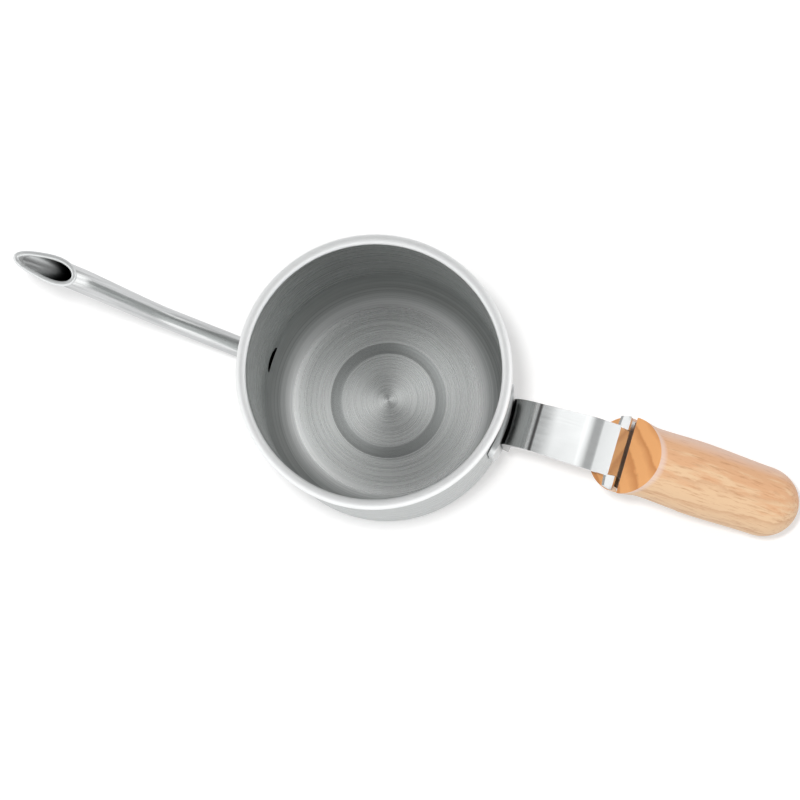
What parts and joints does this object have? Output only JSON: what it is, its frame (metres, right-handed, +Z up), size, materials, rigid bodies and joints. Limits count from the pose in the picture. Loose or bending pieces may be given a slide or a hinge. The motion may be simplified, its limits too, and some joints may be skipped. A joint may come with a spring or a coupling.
{
  "type": "gooseneck drip coffee pot",
  "caption": "Open-topped straight steel pot with a rolled rim, a long thin gooseneck spout low on one side and a turned wooden grip on a flat steel strap on the other.",
  "frame": {"origin": "On the cup's axis, in the plane of its base, at the middle of the mount base_rest.", "axes": "+X runs from the cup's axis out along the handle, +Z is up out of the cup, +Y follows the right-hand rule. The spout leaves 178 degrees round from the handle."},
  "size_m": [0.2732, 0.0912, 0.08],
  "materials": {
    "brushed_steel": "finely brushed stainless steel",
    "polished_steel": "polished stainless steel",
    "weld_steel": "ground weld metal",
    "oiled_beech": "turned and lightly oiled, satin"
  },
  "bodies": {
    "root": {"cup_body": "brushed_steel", "spout_tube": "polished_steel", "spout_weld_bead": "weld_steel", "handle_saddle": "polished_steel", "handle_strap": "polished_steel", "wooden_grip": "oiled_beech", "grip_pin_front": "brushed_steel", "grip_pin_rear": "brushed_steel"}
  },
  "joints": []
}
